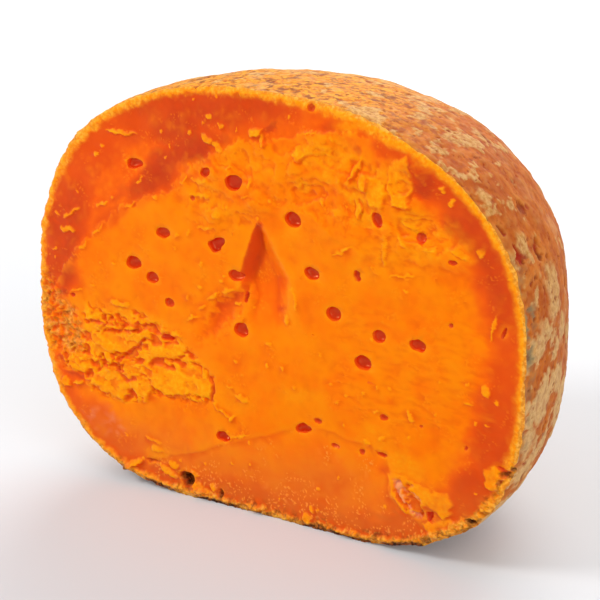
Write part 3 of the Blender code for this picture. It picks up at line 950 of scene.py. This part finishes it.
def paste_material():
    nodes = Nodes("cheese_paste")
    shader = nodes.shader
    mottle = nodes.noise(12.0, 3.0)
    grain = nodes.noise(1.3, 4.0)
    orange = nodes.mottled((255, 121, 0), (255, 135, 0), mottle, 0.35, 0.65)
    warm = nodes.mottled((236, 84, 12), (242, 94, 14), mottle, 0.3, 0.7)
    red = nodes.mottled((192, 56, 22), (206, 68, 24), mottle, 0.3, 0.7)
    # The deep shares are the redder paste near the rim, and painted shade on the hollow's wall and along the
    # trench.
    colour = nodes.mix(orange, warm, nodes.spread(nodes.share("deep"), 0.0, 0.6))
    colour = nodes.mix(colour, red, nodes.spread(nodes.share("deep"), 0.3, 1.05))
    colour = nodes.coat(colour, (226, 112, 34), "dusty", 0.75)
    # Painted highlight on ridges.
    colour = nodes.coat(colour, (255, 148, 10), "painted_ridge_highlight", 0.6)
    pale = nodes.mottled((255, 150, 0), (255, 172, 18), grain, 0.35, 0.7)
    colour = nodes.mix(colour, pale, nodes.share("pale"))
    # Painted shade in creases and on steep sides.
    colour = nodes.coat(colour, (226, 76, 8), "painted_shade_in_creases_and_steeps", 0.75)
    colour = nodes.coat(colour, (252, 158, 62), "grit", 0.6)
    # Painted shade in gas holes, cracks and gaps between crumbs.
    colour = nodes.mix(colour, (222, 50, 18), nodes.share("shade_painted_in_holes_and_gaps"))
    colour = nodes.coat(colour, (246, 176, 132), "scar", 0.55)
    crust = nodes.mottled((212, 136, 44), (246, 186, 84), grain, 0.4, 0.65)
    colour = nodes.coat(colour, crust, "skin", 0.8)
    # Dark brown: the crust's own specks, and painted shade in the rim's pits and on the rind along the
    # bottom.
    brown_and_painted_shade = nodes.mottled((62, 28, 14), (160, 86, 34), grain, 0.42, 0.62)
    colour = nodes.mix(colour, brown_and_painted_shade, nodes.share("brown"))
    nodes.link(colour, shader.inputs["Base Color"])
    dry = nodes.spread(nodes.noise(5.0, 3.0), 0.3, 0.7, 0.36, 0.55)
    wet = nodes.spread(nodes.share("shade_painted_in_holes_and_gaps"), 0.2, 0.9, 1.0, 0.45)
    nodes.link(nodes.times(dry, wet), shader.inputs["Roughness"])
    shine = nodes.spread(nodes.share("shade_painted_in_holes_and_gaps"), 0.2, 0.9, 0.14, 0.7)
    nodes.link(shine, shader.inputs["Specular IOR Level"])
    fine = nodes.bump(nodes.noise(0.9, 3.0), 0.04)
    nodes.link(nodes.bump(nodes.noise(4.0, 4.0), 0.16, fine), shader.inputs["Normal"])
    set_inputs(shader, {
        "Specular Tint": (1, 0.55, 0.2, 1),
        "Subsurface Weight": 0.5,
        "Subsurface Radius": (1, 0.25, 0.03),
        "Subsurface Scale": 0.003,
    })
    return nodes.material


def rind_material():
    nodes = Nodes("cheese_rind")
    shader = nodes.shader
    patch = nodes.noise(9.0, 4.0)
    streak = nodes.noise(3.4, 4.0)
    fleck = nodes.noise(2.0, 5.0, 0.7)
    grain = nodes.noise(1.2, 4.0)
    under = nodes.mottled((182, 84, 24), (202, 106, 34), patch, 0.35, 0.65)
    brown = nodes.times(nodes.spread(streak, 0.48, 0.66), 0.7)
    under = nodes.mix(under, (170, 76, 26), brown)
    gold = nodes.mottled((206, 112, 24), (234, 158, 36), fleck, 0.38, 0.6)
    gold = nodes.mix(gold, (138, 70, 24), nodes.spread(streak, 0.48, 0.66))
    faded = nodes.times(nodes.spread(patch, 0.52, 0.68), 0.35)
    gold = nodes.mix(gold, (208, 162, 112), faded)
    # The crown's colour: painted light from above, with the rind's own brown streaks, flecks and faded
    # patches.
    colour = nodes.mix(under, gold, nodes.share("painted_top_light"))
    tan = nodes.mottled((180, 124, 62), (220, 176, 112), fleck, 0.36, 0.62)
    colour = nodes.coat(colour, tan, "crust", 0.75)
    colour = nodes.coat(colour, (232, 198, 142), "frost", 0.35)
    # Painted shade in the rind's creases and painted highlight on its ridges.
    colour = nodes.coat(colour, (158, 62, 22), "painted_shade_in_creases_and_steeps", 0.8)
    colour = nodes.coat(colour, (222, 164, 84), "painted_ridge_highlight", 0.3)
    colour = nodes.coat(colour, (128, 116, 84), "mould", 0.85)
    # Painted shade in the rind's pits.
    hole = nodes.mottled((166, 36, 22), (112, 46, 26), patch, 0.4, 0.6)
    colour = nodes.coat(colour, hole, "pit", 0.85)
    # Painted shade on the rind's underside near the table.
    painted_shade_below = nodes.mottled((70, 36, 20), (160, 100, 50), grain, 0.4, 0.62)
    colour = nodes.coat(colour, painted_shade_below, "underside", 0.8)
    nodes.link(colour, shader.inputs["Base Color"])
    nodes.link(nodes.spread(grain, 0.3, 0.7, 0.6, 0.8), shader.inputs["Roughness"])
    fine = nodes.bump(grain, 0.12)
    nodes.link(nodes.bump(streak, 0.35, fine), shader.inputs["Normal"])
    set_inputs(shader, {
        "Specular IOR Level": 0.1,
        "Specular Tint": (1, 0.7, 0.4, 1),
        "Subsurface Weight": 0.1,
        "Subsurface Radius": (1, 0.35, 0.1),
        "Subsurface Scale": 0.002,
    })
    return nodes.material


def linked(name, data):
    made = bpy.data.objects.new(name, data)
    bpy.context.scene.collection.objects.link(made)
    return made


def build_cheese():
    mesh, rim = cheese_mesh()
    piece = linked("cheese", mesh)
    thinned(piece)
    mesh = piece.data
    colour_zones(mesh, rim)
    mesh.materials.append(paste_material())
    mesh.materials.append(rind_material())
    mesh.shade_smooth()
    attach(piece, "root")
    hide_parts(NODE)


# ---------------------------------------------------------------- camera, floor and light
def camera():
    """A camera as the photograph had it: to the right of the face and above it."""
    turn, rise, distance = math.radians(31.3), math.radians(20.1), 0.776
    aside, above = 0.00638, 0.00036  # how far the camera stands off the line to the centre
    back = Vector((math.sin(turn) * math.cos(rise), -math.cos(turn) * math.cos(rise), math.sin(rise)))
    right = Vector((math.cos(turn), math.sin(turn), 0))
    up = back.cross(right)
    data = bpy.data.cameras.new("camera")
    data.sensor_width = 36
    data.lens = 132
    view = linked("camera", data)
    aim = Vector(CENTRE / 1000)
    place = aim + back * distance + right * aside + up * above
    turned = Matrix((right, up, back)).transposed().to_4x4()
    view.matrix_world = Matrix.Translation(place) @ turned
    bpy.context.scene.camera = view


def floor():
    mesh = bpy.data.meshes.new("floor")
    mesh.from_pydata([(-4, -4, 0), (4, -4, 0), (4, 4, 0), (-4, 4, 0)], [], [(0, 1, 2, 3)])
    stage = linked("floor", mesh)
    nodes = Nodes("paper")
    set_inputs(nodes.shader, {
        "Base Color": (0.65, 0.655, 0.67, 1),
        "Roughness": 0.7,
        "Specular IOR Level": 0.2,
    })
    mesh.materials.append(nodes.material)


def softbox(name, place, aim, size, watts, colour=(1, 1, 1)):
    data = bpy.data.lights.new(name, "AREA")
    data.size = size
    data.energy = watts
    data.color = colour
    lamp = linked(name, data)
    lamp.location = place
    lamp.rotation_euler = (Vector(aim) - Vector(place)).to_track_quat("-Z", "Y").to_euler()
    return lamp


def light():
    world = bpy.data.worlds.new("world")
    world.use_nodes = True
    set_inputs(world.node_tree.nodes["Background"], {"Color": (1, 1, 1, 1), "Strength": 0.44})
    bpy.context.scene.world = world
    softbox("key", (-0.95, -0.8, 1.0), (0, 0, 0.06), 0.5, 12)
    softbox("fill", (1.2, -0.8, 0.7), (0.1, 0, 0), 1.2, 9, (0.92, 0.96, 1.0))
    top = softbox("top", (0.35, -0.3, 1.4), (0.05, -0.05, 0), 1.0, 4)
    top.data.use_shadow = False
    softbox("back", (-0.3, 1.3, 0.9), (-0.3, 0.8, 0), 1.2, 24)
    bpy.context.scene.view_settings.view_transform = "Standard"


camera()
floor()
light()
build_cheese()
